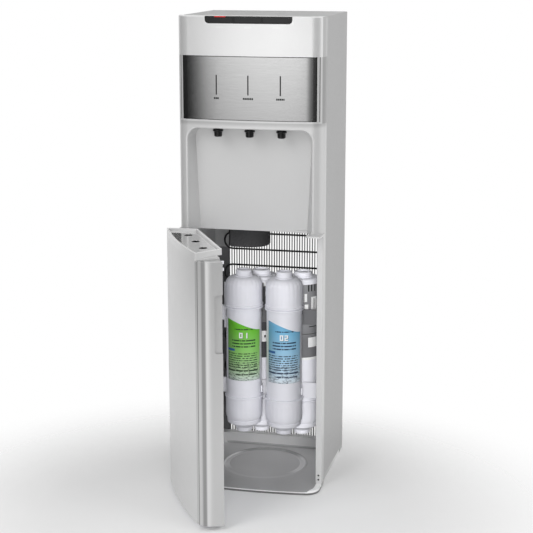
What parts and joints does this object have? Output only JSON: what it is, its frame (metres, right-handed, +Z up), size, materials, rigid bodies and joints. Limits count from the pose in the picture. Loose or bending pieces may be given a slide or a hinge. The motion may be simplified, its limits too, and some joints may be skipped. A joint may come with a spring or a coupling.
{
  "type": "bottleless water dispenser",
  "caption": "Free-standing bottleless water dispenser with a hinged lower door, buttons, nozzles in an alcove and filter cartridges inside.",
  "frame": {"origin": "centre of the base's footprint, on the floor", "axes": "+Z up, the front faces -Y, +X to the viewer's right"},
  "size_m": [0.3393, 0.5817, 1.04],
  "materials": {
    "base_tray": "moulded, satin",
    "feet": "matt",
    "side_panel_left": "satin silver paint",
    "side_panel_right": "satin silver paint",
    "front_rail_left": "moulded silver",
    "front_rail_right": "moulded silver",
    "rail_screws": "black",
    "front_frame": "moulded silver",
    "alcove_liner": "moulded silver",
    "head_frame": "moulded silver",
    "steel_fascia": "brushed across",
    "light_pipes": "smoked",
    "head_cover": "pearl silver",
    "top_panel": "satin silver paint",
    "button_bezel": "gloss black",
    "button_hot": "black",
    "button_room": "black",
    "button_cold": "black",
    "child_lock": "red",
    "button_switches": "black",
    "nozzle_hot": "black",
    "nozzle_room": "black",
    "nozzle_cold": "black",
    "valves": "white",
    "door_hinge_stile": "moulded silver",
    "door_handle_stile": "moulded silver",
    "door_skin": "satin silver",
    "door_liner": "moulded silver",
    "tray_shelf": "moulded silver",
    "drip_plate": "polished",
    "drip_cup": "black",
    "door_catch": "white",
    "hinge_pins": "bright",
    "filter_front_1": "white",
    "filter_front_2": "white",
    "filter_rear_1": "white",
    "filter_rear_2": "white",
    "label_front_1": "green film",
    "label_front_2": "blue film",
    "labels_rear": "grey film",
    "filter_bracket": "white",
    "condenser_wires": "black",
    "condenser_tube": "black",
    "condenser_straps": "dark",
    "inner_shelves": "galvanised",
    "cold_tank_foam": "foam",
    "cold_tank_lid": "foam",
    "cold_tank": "drawn steel",
    "hot_tank": "drawn steel",
    "heater_band": "plain",
    "compressor": "black",
    "control_board": "board",
    "rear_panel": "galvanised",
    "rocker_cases": "black",
    "rocker_hot": "red",
    "rocker_cold": "green",
    "water_inlet": "white",
    "drain_plug": "black",
    "power_inlet": "black",
    "rear_screws": "zinc"
  },
  "bodies": {
    "cabinet": {"base_tray": "base_tray", "feet": "feet", "side_panel_left": "side_panel_left", "side_panel_right": "side_panel_right", "front_rail_left": "front_rail_left", "front_rail_right": "front_rail_right", "rail_screws": "rail_screws", "front_frame": "front_frame", "alcove_liner": "alcove_liner", "head_frame": "head_frame", "steel_fascia": "steel_fascia", "light_pipes": "light_pipes", "head_cover": "head_cover", "top_panel": "top_panel", "button_bezel": "button_bezel", "button_switches": "button_switches", "nozzle_hot": "nozzle_hot", "nozzle_room": "nozzle_room", "nozzle_cold": "nozzle_cold", "valves": "valves", "hinge_pins": "hinge_pins", "filter_rear_1": "filter_rear_1", "filter_rear_2": "filter_rear_2", "labels_rear": "labels_rear", "filter_bracket": "filter_bracket", "condenser_wires": "condenser_wires", "condenser_tube": "condenser_tube", "condenser_straps": "condenser_straps", "inner_shelves": "inner_shelves", "cold_tank_foam": "cold_tank_foam", "cold_tank_lid": "cold_tank_lid", "cold_tank": "cold_tank", "hot_tank": "hot_tank", "heater_band": "heater_band", "compressor": "compressor", "control_board": "control_board", "rear_panel": "rear_panel", "rocker_cases": "rocker_cases", "water_inlet": "water_inlet", "drain_plug": "drain_plug", "power_inlet": "power_inlet", "rear_screws": "rear_screws"},
    "door": {"door_hinge_stile": "door_hinge_stile", "door_handle_stile": "door_handle_stile", "door_skin": "door_skin", "door_liner": "door_liner", "tray_shelf": "tray_shelf", "drip_cup": "drip_cup", "door_catch": "door_catch"},
    "drip_plate": {"drip_plate": "drip_plate"},
    "button_hot": {"button_hot": "button_hot"},
    "button_room": {"button_room": "button_room"},
    "button_cold": {"button_cold": "button_cold"},
    "child_lock": {"child_lock": "child_lock"},
    "filter_1": {"filter_front_1": "filter_front_1", "label_front_1": "label_front_1"},
    "filter_2": {"filter_front_2": "filter_front_2", "label_front_2": "label_front_2"},
    "rocker_hot": {"rocker_hot": "rocker_hot"},
    "rocker_cold": {"rocker_cold": "rocker_cold"}
  },
  "joints": [
    {"name": "door_hinge", "type": "hinge", "parent": "cabinet", "child": "door", "pos_m": [-0.1513, -0.1225, 0.3], "axis": [0, 0, -1], "range_deg": [-61, 49]},
    {"name": "drip_plate_lift", "type": "slide", "parent": "door", "child": "drip_plate", "axis": [0, 0, 1], "range_m": [0, 0.06]},
    {"name": "button_hot_press", "type": "slide", "parent": "cabinet", "child": "button_hot", "axis": [0, 1, 0], "range_m": [0, 0.0025], "stiffness_N_per_m": 600},
    {"name": "button_room_press", "type": "slide", "parent": "cabinet", "child": "button_room", "axis": [0, 1, 0], "range_m": [0, 0.0025], "stiffness_N_per_m": 600},
    {"name": "button_cold_press", "type": "slide", "parent": "cabinet", "child": "button_cold", "axis": [0, 1, 0], "range_m": [0, 0.0025], "stiffness_N_per_m": 600},
    {"name": "child_lock_slide", "type": "slide", "parent": "cabinet", "child": "child_lock", "axis": [1, 0, 0], "range_m": [0, 0.008]},
    {"name": "filter_1_pull", "type": "slide", "parent": "cabinet", "child": "filter_1", "axis": [0, -1, 0], "range_m": [0, 0.1]},
    {"name": "filter_2_pull", "type": "slide", "parent": "cabinet", "child": "filter_2", "axis": [0, -1, 0], "range_m": [0, 0.1]},
    {"name": "rocker_hot_tilt", "type": "hinge", "parent": "cabinet", "child": "rocker_hot", "pos_m": [0.06, 0.1675, 0.9], "axis": [1, 0, 0], "range_deg": [-16, 0]},
    {"name": "rocker_cold_tilt", "type": "hinge", "parent": "cabinet", "child": "rocker_cold", "pos_m": [0.09, 0.1675, 0.9], "axis": [1, 0, 0], "range_deg": [-16, 0]}
  ]
}
